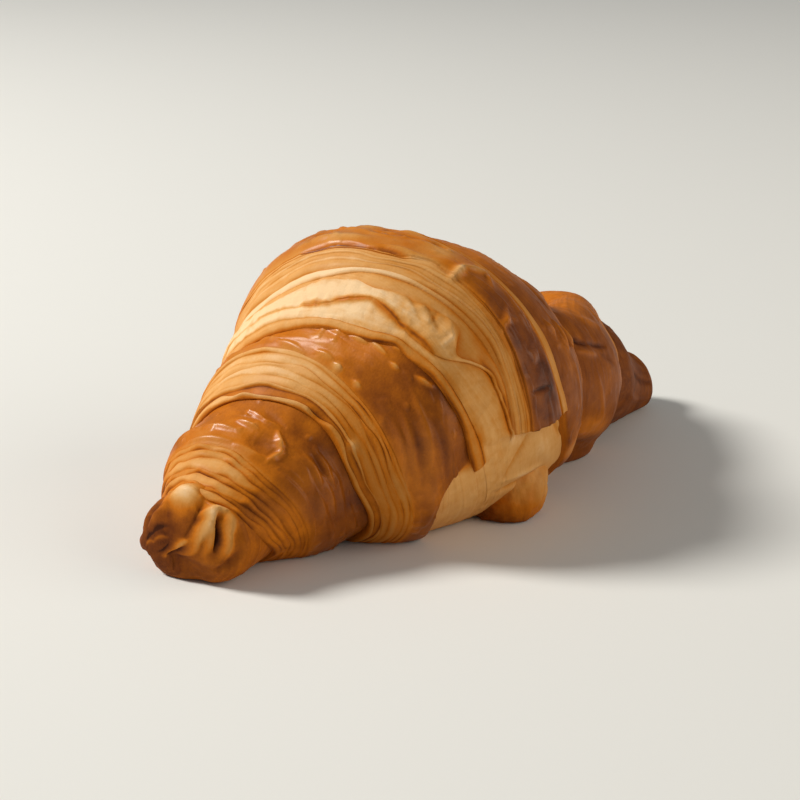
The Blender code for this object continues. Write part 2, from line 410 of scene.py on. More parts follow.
NEIGHBOUR = Roll(
    name="neighbour_roll",
    bands=(
        Band(
            CAP_FAR_EDGE, VALLEY_EDGE,
            (
                *skin(2.0, 1.5, 0.4, 0.64, 0.83, 56, 0.7),
                Layer(0.06, 1.2, 0.9, 0.05, 0.66, 0.68, 0.05),
                Layer(0.12, 0.7, 0.3, 0.15, 0.66, 0.36, 0.08),
            ),
        ),
    ),
    low_lip=False,
    high_lip=True,
    folds=read_folds(
        (524, 37, 530, 31, 1.0, 0.8, -0.16), (551, 38, 556, 26, 0.7, 0.95, -0.2),
        (572, 36, 570, 27, 0.6, -0.9, 0.12), (588, 38, 584, 27, 0.7, 0.8, -0.2),
        (560, 20, 560, -5, 0.9, 0.3, -0.08), (575, 70, 570, 45, 1.1, -0.55, 0.08),
        (545, 95, 555, 75, 1.0, 0.45, -0.04), (620, 110, 640, 85, 1.0, 0.45, -0.04),
        (700, 105, 690, 80, 1.0, 0.45, -0.04), (610, 64, 700, 84, 1.0, -0.5, 0.14),
        (566, -50, 606, -35, 4.4, -2.0, 0.0), (530, -28, 610, -12, 3.5, 0.0, -0.26),
    ),
    seed=51.1,
)

HUMP = Roll(
    name="hump_roll",
    bands=(
        Band(
            VALLEY_EDGE, TIP_EDGE,
            (
                *skin(-1.6, 1.6, 3.6, 0.64, 0.84, 72, 0.5),
                Layer(0.03, 1.4, 1.1, 0.05, 0.66, 0.66, 0.08),
                Layer(0.06, 0.8, 0.4, 0.15, 0.66, 0.46, 0.12),
            ),
        ),
    ),
    low_lip=False,
    high_lip=True,
    folds=read_folds(
        (618, 33, 660, 30, 0.8, -0.8, 0.22), (665, 31, 730, 30, 0.7, -0.6, 0.16),
        (625, 26, 680, 25, 0.8, 0.45, -0.12), (700, 26, 740, 20, 0.7, -0.35, 0.08),
        (808, 62, 805, 48, 0.9, 0.45, -0.14), (700, 48, 760, 44, 1.1, 0.4, -0.06),
        (660, 15, 680, -10, 0.9, 0.3, -0.06), (780, 20, 790, -5, 1.2, 0.3, -0.16),
        (780, 100, 850, 115, 1.0, 0.4, -0.04), (600, -38, 740, -32, 5.0, -2.4, 0.0),
        (590, -16, 720, -20, 3.5, 0.0, -0.2),
    ),
    seed=67.9,
)

NEAR_TIP = Tip(
    name="pinched_tip",
    edge=COLLAR_EDGE,
    end=NEAR_END,
    rows=90,
    heights=(0.2, -0.6),
    tones=(0.90, 0.72),
    folds=read_folds(
        (-29.5, 103, -22.5, 74, 3.4, 1.8, -0.72), (-40, 94, -33, 68, 1.5, -0.8, 0.2),
        (-20, 70, -30, 57, 1.0, -1.4, 0.14), (-30, 57, -41, 32, 1.0, -1.3, 0.14),
        (-38.5, 72, -47, 52, 2.6, -0.6, 0.08), (-39, 98, -46.8, 110, 1.4, 0.9, -0.06),
        (-44, 72, -48, 95, 0.6, -0.6, 0.22), (-48, 95, -48.8, 135, 0.6, -0.6, 0.24),
        (-46.5, 46, -49.6, 76, 0.6, 0.25, -0.2), (-49.6, 76, -49.4, 170, 0.6, 0.25, -0.2),
        (-47, 30, -49.6, -10, 0.5, -0.3, 0.14), (-41.3, 28, -46.2, 19, 1.1, 0.8, -0.38),
        (-45, 20, -48.6, -22, 1.0, 0.8, -0.38), (-43, 15, -47.6, -14, 1.0, -1.6, 0.3),
        (-19.5, 58, -30, 44, 2.1, 1.6, -0.54), (-28, 47, -39, 24, 1.9, 1.5, -0.52),
        (-37.5, 28, -42.8, -8, 1.3, 0.9, -0.3), (-27, 41, -36.1, 0, 1.2, 0.7, -0.28),
        (-18, 50, -24.5, 37, 0.6, -1.2, 0.3), (-23.5, 39, -29.2, 5, 0.8, -2.1, 0.56),
        (-19, 57, -11, 47, 0.9, 1.0, -0.4), (-11, 46, -20.5, 22, 1.4, 1.3, -0.42),
        (-19.5, 25, -26.3, -3, 1.3, 1.2, -0.3), (-13, 82, -3, 50, 1.2, -1.2, 0.14),
        (-41, -12, -28, -11, 1.5, 0.5, -0.12), (-46.5, -10, -36, -50, 4.0, -2.2, 0.04),
        (-49, 200, -44, 250, 3.0, -1.6, 0.0), (-30, 118, -44, 132, 1.0, -0.7, 0.12),
        (-20, 125, -42, 150, 1.1, 0.7, 0.0), (-20, 150, -44, 175, 0.9, -0.8, 0.15),
        (-18, 180, -42, 200, 1.1, 0.6, 0.0), (-10, 4, -28, -24, 0.9, -0.6, 0.1),
    ),
    seed=81,
)

FAR_TIP = Tip(
    name="far_tip",
    edge=TIP_EDGE,
    end=FAR_END,
    rows=40,
    heights=(0.2, 0.4),
    tones=(0.95, 0.86),
    folds=read_folds(
        (900, 60, 1000, 40, 1.0, 0.4, 0.0), (900, 20, 1010, 10, 0.9, -0.55, 0.1),
        (890, 100, 1000, 120, 1.0, -0.5, 0.08), (880, -10, 1000, -20, 1.0, 0.45, 0.0),
        (900, 150, 1000, 160, 1.0, 0.45, 0.0),
    ),
    seed=97,
)

ROLLS = (COLLAR, SECOND, PALE, CAP, NEIGHBOUR, HUMP)

# The hems, as pairs of the distance from the last line and the drop, in millimetres
LIP_ROWS = ((1.6, -3.2), (0.8, -2.2), (0.25, -1.4), (-0.05, -0.8), (-0.15, -0.35))
TAIL_ROWS = ((0.6, -0.4), (1.6, -1.2), (2.8, -2.3), (4.0, -3.6))
HEM_TONE = 0.70
INNER_ROWS = 4
INNER_DEPTH = -5.0

# Shape of the shells
RING_COLUMNS = 480
TIP_COLUMNS = 320
FLOOR_SOFTNESS = 0.0006
FLOOR_LIFT = 0.4
BASE_HEIGHT = 2.0
WAVE_HEIGHTS = (0.30, 0.20)
WAVE_TURNS = ((9.0, 2.0, 0.0), (23.0, -3.0, 1.0))
SEAM_GAP = 1e-7
FAR_TIP_BLUNTNESS = 2.0
POLE_WIDTH = 0.998
ROOT_ROWS_SHARE = 0.7
ROOT_OVERLAP = 0.03
ROOT_STEP = 0.008
ROOT_DROPS = (-2.0, -4.5, -8.0)

# Angles between which the crust turns from side to crown, how much further the
# crown reaches at the back, and the plain crust over thin layers. The sides' darker
# tones are partly browning and partly painted shade where less light falls; the
# crown's paler tones reaching round the back are painted light on the edge that the
# key light catches from behind.
SIDE_ANGLE = math.radians(28)
CROWN_ANGLE = math.radians(82)
PALE_BACK = math.radians(28)
PLAIN_TONE = 0.68
PLAIN_RELIEF = 0.75

# Steps from the seed of one band to the next, for its lines and for its layers
LINE_SEEDS = 5.0
LAYER_SEEDS = 9.0

# How far apart noise is read for each next seed, each octave and the blisters
RING_SHIFT = 1.37
OCTAVE_SHIFT = 31.7
BLISTER_SHIFT = 7.7

# Unevenness of the layers, as amounts and as turns of noise round the roll
WANDER_TURNS = 3.5
GROOVE_TURNS = 5.0
GROOVE_DEPTH = 0.70
GROOVE_SPREAD = 0.9
GROOVE_LIMITS = (0.15, 1.4)
LIFT_TURNS = 4.0
LIFT_SPREAD = 0.15
EDGE_SHARPNESS = 4.0
FRONT_SOFTENING = 2.2
NARROW_FADE = 0.85
# Painted highlight: how much paler each layer is over its middle, where it bulges
RIDGE_PAINTED_HIGHLIGHT = 0.05
SKIN_EASE = 0.07
SKIN_EASE_TONE = 0.22
SKIN_EASE_GLOSS = 0.6

# Folds
FOLD_STEPS = 6
FOLD_REACH = 4.0
FOLD_TAPER = (0.12, 0.76)
FOLD_GLOSS = 1.2
TIP_GLOSS = 0.15
TIP_FOLD_GLOSS = 0.2

# Grain of the surface in metres; a pair is across the layers and along them
STREAK_SIZE = (0.0004, 0.014)
WRINKLE_SIZE = (0.0017, 0.009)
SLOW_SIZE = 0.009
FINE_SIZE = 0.0022
BLISTER_SIZE = 0.0021
CRUMPLE_SIZE = 0.0030
PATCH_SIZE = 0.011
SPOT_SIZE = 0.0045
BLOT_SIZE = 0.0014
WRINKLE_FROM = 0.12
BLISTER_FROM, BLISTER_BY = 0.42, 0.85
BLOT_FROM, BLOT_BY = 0.05, 0.45
FINE_SHARE = 0.15
BLISTER_HEIGHT = 0.22
BLISTER_GLOSS = 0.6
CRUMPLE_HEIGHT = 8.0
PATCH_TONE = 0.13
SPOT_TONE = 0.07
STREAK_TONE = 0.06
FINE_TONE = 0.05
# Painted highlight: how much paler the blisters are
BLISTER_PAINTED_HIGHLIGHT = 0.05

# Bare dough low on the front, where the layers run together
MELT_FROM = math.radians(-2)
MELT_BY = math.radians(-8)
MELT_LIP_FROM = math.radians(-12)
MELT_LIP_BY = math.radians(-20)
MELT_LIP_BACK = 0.016
MELT_HEIGHT = 0.85
MELT_REACH = 0.007
MELT_TONE = 0.28
MELT_MATT = 0.8
MELT_UNDER = 0.4
PATCH_FROM = math.radians(-10)
PATCH_BY = math.radians(-17)
PATCH_HEIGHT = 1.05

# The tongue: below this line on the front the cap's roll is missing
TONGUE_END = curve((-5.5, 400), (-5.0, 420), (-4.0, 447), (-3.0, 475), (-1.0, 500), (0.5, 530))
TONGUE_STEP = 1.6
# Painted shadow: how much darker the cap's shell is where it sinks below the tongue's end
TONGUE_PAINTED_SHADOW = 0.15
CAP_HIDDEN_FROM = 215.0
CAP_HIDDEN_BY = 245.0
HIDDEN_HEIGHT = -3.5

# The foot: a lobe of dough squeezed out under the front, darker low on its left
FOOT_ROWS = 60
FOOT_COLUMNS = 120
FOOT_PLACE = (0.489, math.radians(-44), -0.9)
FOOT_SIZE = (0.0090, 0.0086, 0.0094)
FOOT_SLANT = 0.38
FOOT_LUMP_SCALES = (1.9, 6.0)
FOOT_LUMP_HEIGHTS = (0.16, 0.05)
FOOT_TONE = 0.42
FOOT_PATCH_SCALE = 1.4
FOOT_PATCH_TONE = 0.16
FOOT_LOW_FROM, FOOT_LOW_BY = 0.3, -0.9
FOOT_LOW_LEAN = 0.8
FOOT_LOW_TONE = 0.36
FOOT_GLOSS = 0.25

# Grain of the material: streaks for each millimetre across the layers and each
# metre along them, mottles and specks for each metre
STREAKS_ACROSS = 2.2
STREAKS_ALONG = 110.0
MOTTLES = 330.0
SPECKS = 1900.0
GRAIN_TONES = (0.14, 0.14, 0.08)
GRAIN_HEIGHTS = (0.5, 0.5, 0.35)
GRAIN_BUMP = 0.45
GRAIN_DEPTH = 0.0004
BARE_ROUGHNESS = 0.62
GLOSS_SMOOTHING = 0.20
MOTTLE_ROUGHNESS = 0.12

# The tone at which the crust has each of its colours
TONE_STOPS = {
    "cream": 0.0, "straw": 0.22, "golden": 0.42, "orange": 0.60,
    "chestnut": 0.77, "brown": 0.90, "dark": 1.0,
}

# The floor, the lights and the camera
FLOOR_HALF = 4.0
FLOOR_DROP = -0.00002
FLOOR_ROUGHNESS = 0.60
FLOOR_SHINE = 0.1
FLOOR_GRAIN = 40.0
KEY_PLACE = Vector((-0.62, 0.95, 1.02))
KEY_SIZE = 0.45
KEY_COLOUR = (1.0, 0.965, 0.92)
FILL_PLACE = Vector((0.55, -1.1, 0.55))
FILL_SIZE = 1.2
FILL_COLOUR = (1.0, 0.93, 0.82)
SKY_COLOUR = (0.93, 0.96, 1.0)
LIGHT_AIM = Vector((0.0, 0.0, 0.02))
CAMERA_AIM = Vector((0.01535, 0.02354, 0.01025))
CAMERA_AZIMUTH = math.radians(-47.19)
CAMERA_ELEVATION = math.radians(19.08)
CAMERA_DISTANCE = 0.4658
CAMERA_ROLL = math.radians(-0.36)
SENSOR = 36.0


def rgb(name, default, description):
    """Return a colour property."""
    return FloatVectorProperty(
        name=name, description=description, default=default, subtype="COLOR", size=3, min=0.0, max=1.0,
    )


def number(name, default, description, low=0.0, high=1000.0, **options):
    """Return a number property."""
    return FloatProperty(name=name, description=description, default=default, min=low, max=high, **options)


def factor(name, default, description):
    """Return a number property from 0 to 1."""
    return number(name, default, description, high=1.0, subtype="FACTOR")


def length(name, default, description):
    """Return a property for the height of a small relief."""
    return number(name, default, description, high=0.002, unit="LENGTH", precision=5)


class CrustColours(PropertyGroup):
    """Colours of the dough, from unbaked-looking layers to the darkest crust."""

    cream: rgb("Cream", (0.90, 0.62, 0.34), "Bare layers that the oven hardly coloured")
    straw: rgb("Straw", (0.74, 0.385, 0.125), "Edges of the layers")
    golden: rgb("Golden", (0.62, 0.250, 0.045), "Golden dough")
    orange: rgb("Orange", (0.56, 0.160, 0.007), "Egg-washed skin on top")
    # Chestnut on the sides stands partly for painted shade, as the side tones are darker than the crown's
    chestnut: rgb("Chestnut", (0.30, 0.078, 0.005), "Egg-washed skin on the sides")
    brown: rgb("Brown", (0.155, 0.036, 0.004), "Deep brown crust")
    # The darkest colour also stands for painted shade deep in creases
    dark: rgb("Dark", (0.050, 0.011, 0.002), "The darkest creases")


class CrustFinish(PropertyGroup):
    """How glossy and how uneven the crust is."""

    gloss: factor("Gloss", 0.20, "Strength of the egg wash's clear coat")
    shine: factor("Shine", 0.06, "Strength of the dough's own reflections")
    coat_roughness: factor("Coat roughness", 0.28, "Roughness of the egg wash's clear coat")
    unevenness: length("Unevenness", 0.00035, "Height of the skin's slow waves")
    wrinkles: length("Wrinkles", 0.00055, "Height of the fine wrinkles along the skin")
    streaks: length("Streaks", 0.00008, "Height of the finest lines along the layers")


class StudioSettings(PropertyGroup):
    """The floor, the lights and the camera."""

    floor: rgb("Floor", (0.80, 0.80, 0.76), "Colour of the plain floor")
    key_power: number("Key", 25.0, "Power of the soft key light in watts")
    fill_power: number("Fill", 7.0, "Power of the weak front light in watts")
    sky_strength: number("Sky", 0.18, "Strength of the even light")
    lens: number("Lens", 85.5, "Focal length in millimetres", low=10.0)


# Curves and noise, worked out for whole arrays at once


def curve_between(before, start, end, after, step):
    """Return the smooth value a step of the way from start to end."""
    return 0.5 * (
        2.0 * start
        + (end - before) * step
        + (2.0 * before - 5.0 * start + 4.0 * end - after) * step ** 2
        + (3.0 * start - before - 3.0 * end + after) * step ** 3
    )


def along(values, share):
    """Read evenly spaced values at shares of the spine."""
    table = np.array(values)
    last = len(table) - 1
    place = np.clip(share, 0.0, 1.0) * last
    index = np.minimum(place.astype(int), last - 1)
    before = table[np.maximum(index - 1, 0)]
    after = table[np.minimum(index + 2, last)]
    return curve_between(before, table[index], table[index + 1], after, place - index)


def around(values, angle):
    """Read evenly spaced values at angles round the roll."""
    table = np.array(values)
    count = len(table)
    place = (angle - FIRST_STATION) / math.tau * count % count
    index = place.astype(int) % count
    corners = [table[(index + offset) % count] for offset in (-1, 0, 1, 2)]
    return curve_between(*corners, place - index)


def through(points, angle):
    """Read a closed curve through pairs of degrees and share."""
    turns = np.radians([point[0] for point in points])
    values = np.array([point[1] for point in points])
    turns = np.concatenate([turns - math.tau, turns, turns + math.tau])
    values = np.tile(values, 3)
    slopes = np.gradient(values, turns)
    place = front_angle(angle)
    index = np.clip(np.searchsorted(turns, place) - 1, 0, len(turns) - 2)
    width = turns[index + 1] - turns[index]
    step = (place - turns[index]) / width
    rise = values[index + 1] - values[index]
    bend = width * (slopes[index] + slopes[index + 1]) - 2.0 * rise
    pull = 3.0 * rise - width * (2.0 * slopes[index] + slopes[index + 1])
    return values[index] + step * (width * slopes[index] + step * (pull + step * bend))


def edge_at(edge, angle):
    """Return an edge's share of the spine at the angles."""
    return through(edge, angle) if isinstance(edge[0], tuple) else around(edge, angle)


def ease(step):
    """Turn an even step from 0 to 1 into one that starts and ends softly."""
    return step * step * (3.0 - 2.0 * step)


def smooth_step(low, high, value):
    """Rise from 0 at low to 1 at high."""
    return ease(np.clip((value - low) / (high - low), 0.0, 1.0))


def front_angle(angle):
    """Turn angles into the range from underneath, over the front and the back."""
    return (angle + math.pi / 2) % math.tau - math.pi / 2


def lattice(corner, seed):
    """Return a repeatable number from 0 to 1 for each whole-numbered place."""
    x, y, z = (corner[..., axis].astype(np.uint32) for axis in range(3))
    mixed = x * np.uint32(73856093) ^ y * np.uint32(19349663) ^ z * np.uint32(83492791)
    mixed = mixed + np.uint32(seed * 7919 + 17)
    for shift, factor in ((16, 0x7FEB352D), (15, 0x846CA68B)):
        mixed = (mixed ^ (mixed >> np.uint32(shift))) * np.uint32(factor)
    return (mixed ^ (mixed >> np.uint32(16))) / 4294967295.0


def noise(place, seed=0):
    """Return smooth noise from -1 to 1 for places in an array of points."""
    low = np.floor(place)
    blend = ease(place - low)
    low = low.astype(np.int64)
    total = 0.0
    for corner in range(8):
        offset = np.array([corner & 1, corner >> 1 & 1, corner >> 2])
        weight = np.prod(np.where(offset == 1, blend, 1.0 - blend), axis=-1)
        total = total + weight * lattice(low + offset, seed)
    return 2.0 * total - 1.0


def rough_noise(place, seed=0, octaves=3):
    """Return noise with finer noise on top of it."""
    total, size = 0.0, 1.0
    for octave in range(octaves):
        total = total + size * noise(place * 2.0 ** octave + OCTAVE_SHIFT * octave, seed + octave)
        size *= 0.5
    return total / (2.0 - 2.0 ** (1 - octaves))


def ring_noise(angle, turns, seed):
    """Return noise that closes on itself round the roll."""
    apart = np.full_like(angle, seed * RING_SHIFT)
    return noise(np.stack([np.cos(angle) * turns, np.sin(angle) * turns, apart], axis=-1))


# The croissant's body


def body_point(share, angle, height):
    """Return points over the spine at shares, angles and heights in millimetres."""
    inside = np.clip(share, 0.0, 1.0)
    radius = along(BODY_RADIUS, inside)
    bow = along(SPINE_BOW, inside)
    rise = along(SPINE_BOW, inside + BOW_STEP) - along(SPINE_BOW, inside - BOW_STEP)
    heading = np.arctan2(rise, 2.0 * BOW_STEP * SPINE_LENGTH)
    middle = SINK * radius
    near = np.clip(share / NEAR_END, 0.0, 1.0)
    far = np.clip((share - 1.0) / (FAR_END - 1.0), 0.0, 1.0)
    radius = radius * np.sqrt(1.0 - near ** NEAR_TIP_BLUNTNESS) * np.sqrt(1.0 - far ** 2)
    bow = bow + NEAR_TIP_TURN * near ** 2
    middle = middle - NEAR_TIP_DROP * near ** 2
    lift = height * MM * np.minimum(radius / FULL_RELIEF_RADIUS, 1.0)
    reach = np.maximum(radius + lift, 0.0)
    sideways = reach * np.cos(angle) * WIDTH_TO_HEIGHT
    x = share * SPINE_LENGTH + np.sin(heading) * sideways
    y = bow - np.cos(heading) * sideways
    z = middle + reach * np.sin(angle)
    z = 0.5 * (z + np.sqrt(z * z + FLOOR_SOFTNESS ** 2)) + FLOOR_LIFT * np.maximum(-lift, 0.0)
    return (np.stack([x, y, z], axis=-1) + np.array(SPINE_START)) * SCALE


def wave_height(share, angle):
    """Return the slow unevenness of the whole roll."""
    return sum(
        height * np.sin(along_spine * share + round_it * angle + start)
        for height, (along_spine, round_it, start) in zip(WAVE_HEIGHTS, WAVE_TURNS)
    )


# Shells: a grid of rows across a roll and columns round it


class Shell:
    """The rows of one shell, each with its place, height, tone and gloss."""

    def __init__(self, columns):
        """Start an empty shell with evenly spaced columns."""
        self.angle = np.linspace(0.0, math.tau, columns, endpoint=False)
        self.rows = []

    def add(self, share, height, tone, gloss=0.0, outer=1.0, speckle=0.0):
        """Add a row, whose values are numbers or one number for each column."""
        fields = (share, height, tone, gloss, outer, speckle)
        shape = self.angle.shape
        self.rows.append([np.broadcast_to(np.asarray(field, float), shape) for field in fields])

    def settle(self):
        """Turn the rows into grids that have one value for each vertex."""
        grids = [np.stack([row[field] for row in self.rows]) for field in range(6)]
        self.share, self.height, self.tone, self.gloss, self.outer, self.speckle = grids
        self.turn = np.broadcast_to(self.angle, self.share.shape)
        self.base = body_point(self.share, self.turn, np.full_like(self.share, BASE_HEIGHT))


def front_share(angle):
    """Return 1 where the roll faces the front or the back and 0 on top."""
    turned = front_angle(angle)
    folded = np.where(turned > TOP, np.minimum(BACK + PALE_BACK - turned, TOP), turned)
    return 1.0 - smooth_step(SIDE_ANGLE, CROWN_ANGLE, folded)


def band_edges(band, angle, seed):
    """Return the lines between a band's layers, as shares for each column."""
    low, high = edge_at(band.low, angle), edge_at(band.high, angle)
    parts = np.cumsum([0.0] + [layer.width for layer in band.layers])
    parts = parts / parts[-1]
    last = len(parts) - 1
    lines = []
    for index, part in enumerate(parts):
        wander = 0.0
        if 0 < index < last:
            wander = band.wander / last * ring_noise(angle, WANDER_TURNS, seed + index)
        lines.append(low + (high - low) * (part + wander))
    return np.maximum.accumulate(np.array(lines), axis=0)


def add_layer(shell, layer, low, high, seed, eased, plain):
    """Add the rows of one layer between two lines."""
    turned = shell.angle
    front = front_share(turned)
    # Towards the front and the back the tone turns to the front tone: partly browning, partly painted shade
    # where less light falls
    tone = layer.tone + (layer.front_tone - layer.tone) * front
    tone = tone if layer.skin else tone + (PLAIN_TONE - tone) * plain
    ripple = ring_noise(turned, GROOVE_TURNS, seed + 0.5)
    depth = np.clip(GROOVE_DEPTH + GROOVE_SPREAD * ripple, *GROOVE_LIMITS) * (1.0 - PLAIN_RELIEF * plain)
    lift = 0.0 if layer.skin else LIFT_SPREAD * ring_noise(turned, LIFT_TURNS, seed + 0.7)
    depth = depth * (1.0 - NARROW_FADE * front) if layer.width < 1.0 else depth
    sharpness = EDGE_SHARPNESS - FRONT_SOFTENING * front
    for index in range(layer.rows):
        step = (index + 0.5) / layer.rows
        if not layer.skin:
            step = 0.5 - 0.5 * math.cos(math.pi * step)
        round_off = 4.0 * step * (1.0 - step)
        trend = ease(step) if layer.skin else step
        swell = layer.swell * (round_off if layer.skin else depth * math.sqrt(round_off))
        edge = 0.0 if layer.skin else abs(2.0 * step - 1.0) ** sharpness
        paler = eased[0] * math.exp(-step / SKIN_EASE) + eased[1] * math.exp((step - 1.0) / SKIN_EASE)
        paler = paler if layer.skin else 0.0
        # The groove darkens each layer towards its edges, partly as browner edges and partly as painted
        # shade in the gaps between layers
        shell.add(
            low + (high - low) * step,
            layer.start + (layer.end - layer.start) * trend + swell + lift,
            # Paler over the layer's middle: a painted highlight where it bulges
            tone + layer.groove * edge * depth - RIDGE_PAINTED_HIGHLIGHT * round_off - SKIN_EASE_TONE * paler,
            layer.gloss * (1.0 - SKIN_EASE_GLOSS * paler),
            1.0,
            layer.speckle,
        )


def add_hem(shell, line, rows, outward, height):
    """Add the rows that close a shell beyond its last line."""
    for distance, drop in rows:
        shell.add(line + outward * distance * MM / SPINE_LENGTH, height + drop, HEM_TONE, 0.0, 0.0)


def roll_shell(roll):
    """Lay out a whole roll, from its low edge to its high one and back inside."""
    shell = Shell(RING_COLUMNS)
    layers = [layer for band in roll.bands for layer in band.layers]
    lines = []
    for place, band in enumerate(roll.bands):
        lines.append(band_edges(band, shell.angle, roll.seed + LINE_SEEDS * place))
    first, last = lines[0][0], lines[-1][-1]
    low_hem = LIP_ROWS if roll.low_lip else TAIL_ROWS[::-1]
    high_hem = LIP_ROWS[::-1] if roll.high_lip else TAIL_ROWS
    low_turn = 1.0 if roll.low_lip else -1.0
    high_turn = -1.0 if roll.high_lip else 1.0
    lips = (roll.low_lip, roll.high_lip)
    plain = 1.0 - smooth_step(roll.plain_by, roll.plain_from, np.degrees(front_angle(shell.angle)))
    add_hem(shell, first, low_hem, low_turn, layers[0].start)
    for place, (band, edges) in enumerate(zip(roll.bands, lines)):
        for index, layer in enumerate(band.layers):
            seed = roll.seed + LAYER_SEEDS * place + index
            add_layer(shell, layer, edges[index], edges[index + 1], seed, lips, plain)
    add_hem(shell, last, high_hem, high_turn, layers[-1].end)
    start, end = shell.rows[-1][0], shell.rows[0][0]
    for index in range(INNER_ROWS):
        step = (index + 0.5) / INNER_ROWS
        shell.add(start + (end - start) * step, INNER_DEPTH, HEM_TONE, 0.0, 0.0)
    shell.first_line = first
    shell.settle()
    return shell


def tip_shell(tip):
    """Lay out a tip, from its point to beyond the edge that hides its root."""
    shell = Shell(TIP_COLUMNS)
    near = tip.end < 0.0
    start, inward = (0.0, 1.0) if near else (1.0, -1.0)
    power = NEAR_TIP_BLUNTNESS if near else FAR_TIP_BLUNTNESS
    low, high = tip.heights
    root = edge_at(tip.edge, shell.angle) + inward * ROOT_OVERLAP
    for index in range(tip.rows):
        width = (index + 1.0) / tip.rows * POLE_WIDTH
        share = start + (tip.end - start) * (1.0 - width ** 2) ** (1.0 / power)
        tone = tip.tones[0] + (tip.tones[1] - tip.tones[0]) * width ** 2
        shell.add(share, low * min(width * 2.0, 1.0), tone, TIP_GLOSS)
    rows = int(tip.rows * ROOT_ROWS_SHARE)
    for index in range(rows):
        step = (index + 1.0) / rows
        height = low + (high - low) * math.sin(math.pi / 2.0 * step)
        shell.add(start + (root - start) * step, height, tip.tones[1], TIP_GLOSS)
    for index, height in enumerate(ROOT_DROPS):
        shell.add(root + inward * ROOT_STEP * (index + 1), height, tip.tones[1], 0.0, 0.0)
    shell.first_line = np.zeros_like(shell.angle)
    shell.settle()
    return shell


def add_folds(shell, folds, gloss=FOLD_GLOSS):
    """Raise or sink the shell along each fold, and colour it there."""
    for fold in folds:
        steps = np.linspace(0.0, 1.0, FOLD_STEPS)
        share = fold.share + (fold.end_share - fold.share) * steps
        angle = np.radians(fold.degrees + (fold.end_degrees - fold.degrees) * steps)
        path = body_point(share, angle, np.full_like(share, BASE_HEIGHT))
        centre = path.mean(axis=0)
        reach = np.linalg.norm(path - centre, axis=1).max() + FOLD_REACH * fold.width * MM
        close = np.linalg.norm(shell.base - centre, axis=-1) < reach
        points = shell.base[close]
        nearest = np.full(len(points), 1.0)
        taper = np.zeros(len(points))
        for index in range(FOLD_STEPS - 1):
            side = path[index + 1] - path[index]
            step = np.clip((points - path[index]) @ side / (side @ side), 0.0, 1.0)
            distance = np.linalg.norm(points - path[index] - step[:, None] * side, axis=1)
            progress = (index + step) / (FOLD_STEPS - 1)
            bell = np.sin(math.pi * (FOLD_TAPER[0] + FOLD_TAPER[1] * progress))
            taper = np.where(distance < nearest, bell, taper)
            nearest = np.minimum(nearest, distance)
        width = fold.width * MM * (0.5 + 0.5 * taper)
        strength = np.exp(-(nearest / width) ** 2) * taper * shell.outer[close]
        shell.height[close] += fold.height * strength
        # The fold's tone: partly the crust's own colour, partly painted highlight on raised folds and
        # painted shade in sunk creases
        shell.tone[close] += fold.tone * strength
        shell.gloss[close] += gloss * strength * min(max(fold.height, 0.0), 1.0)


def add_relief(shell, finish, seed):
    """Add the unevenness, the wrinkles and the streaks of the surface."""
    across = (shell.share - shell.first_line) * SPINE_LENGTH
    y, z = shell.base[..., 1], shell.base[..., 2]
    streak_place, wrinkle_place = (
        np.stack([across / size, y / length_along, z / length_along], axis=-1)
        for size, length_along in (STREAK_SIZE, WRINKLE_SIZE)
    )
    slow = rough_noise(shell.base / SLOW_SIZE, seed)
    fine = rough_noise(shell.base / FINE_SIZE, seed + 5)
    streak = rough_noise(streak_place, seed + 9, 2)
    wrinkle = np.maximum(rough_noise(wrinkle_place, seed + 13, 2) - WRINKLE_FROM, 0.0)
    gloss, bare = shell.gloss, np.maximum(1.0 - shell.gloss, 0.0)
    relief = finish.unevenness * slow + finish.wrinkles * gloss * wrinkle + finish.streaks * bare * streak
    relief = relief + FINE_SHARE * finish.unevenness * fine
    swellings = noise(shell.base / BLISTER_SIZE + BLISTER_SHIFT, seed + 17)
    blisters = smooth_step(BLISTER_FROM, BLISTER_BY, swellings) * gloss
    crumple = shell.speckle * (0.5 - np.abs(rough_noise(shell.base / CRUMPLE_SIZE, seed + 31, 2)))
    relief = relief / MM + BLISTER_HEIGHT * blisters + CRUMPLE_HEIGHT * crumple
    shell.height += shell.outer * relief + wave_height(shell.share, shell.turn)
    patches = rough_noise(shell.base / PATCH_SIZE, seed + 21) * PATCH_TONE
    patches = patches + rough_noise(shell.base / SPOT_SIZE, seed + 25) * SPOT_TONE
    blots = smooth_step(BLOT_FROM, BLOT_BY, rough_noise(shell.base / BLOT_SIZE, seed + 27, 2))
    tint = patches * gloss + STREAK_TONE * bare * streak + FINE_TONE * fine
    # Blisters are made paler as painted highlights
    tint = tint + shell.speckle * blots - BLISTER_PAINTED_HIGHLIGHT * blisters
    shell.tone += shell.outer * tint
    shell.gloss = shell.gloss + BLISTER_GLOSS * blisters
    shell.across = across / MM


def melt(shell, edge, start, stop, height):
    """Let the layers beyond an edge run together into bare dough, low on the front."""
    turned = front_angle(shell.turn)
    melted = smooth_step(0.0, MELT_REACH, shell.share - edge) * (1.0 - smooth_step(stop, start, turned))
    melted = melted * smooth_step(UNDER - math.tau, UNDER - math.tau + MELT_UNDER, turned)
    shell.height += (height - shell.height) * melted * shell.outer
    shell.tone += (MELT_TONE - shell.tone) * melted
    shell.gloss = shell.gloss * (1.0 - MELT_MATT * melted)


